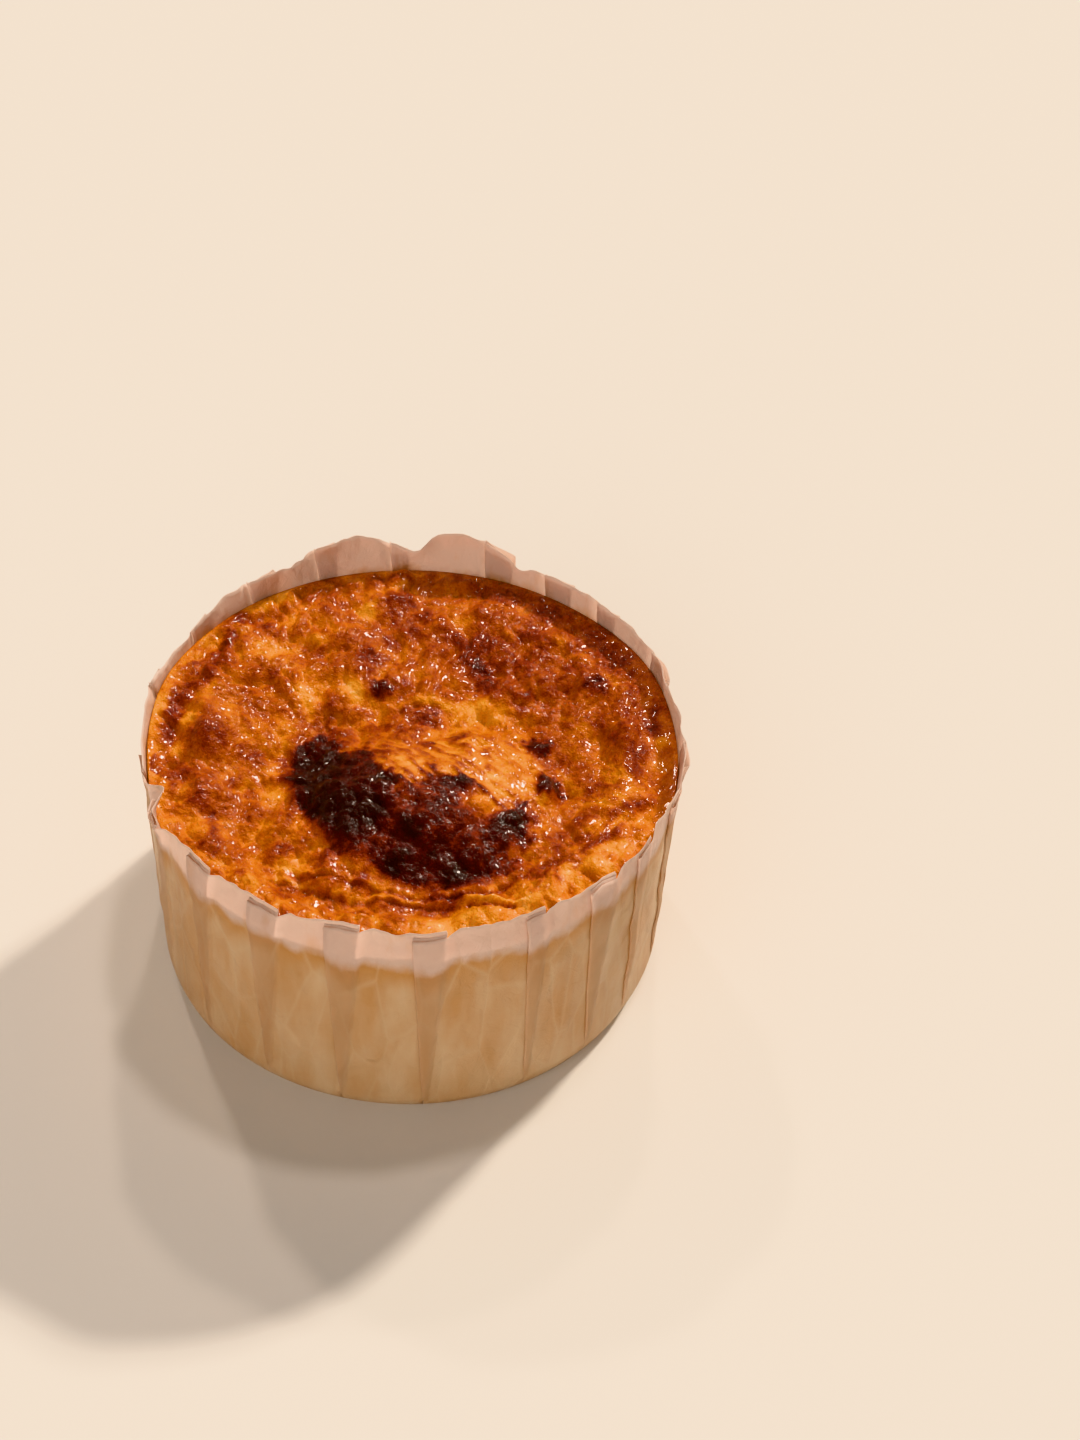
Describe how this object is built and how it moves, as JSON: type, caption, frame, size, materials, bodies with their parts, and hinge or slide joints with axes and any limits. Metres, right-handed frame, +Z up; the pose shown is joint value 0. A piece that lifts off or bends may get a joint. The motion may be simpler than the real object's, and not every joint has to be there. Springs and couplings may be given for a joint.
{
  "type": "basque burnt cheesecake",
  "caption": "Small round burnt-topped cheesecake with a dark off-centre mound, standing in its pleated white baking paper.",
  "frame": {"origin": "the middle of the paper's underside, which rests on the table", "axes": "+Z up; the burnt mound and the swollen lobes are towards -Y, the tall part of the paper's edge is towards +Y"},
  "size_m": [0.1162, 0.1182, 0.0612],
  "materials": {
    "crust": "moist browned cheesecake crust, amber to nearly black",
    "baking_paper": "translucent white baking paper, amber where it clings to the cake"
  },
  "bodies": {
    "root": {"cheesecake": "crust", "baking_paper": "baking_paper"}
  },
  "joints": []
}
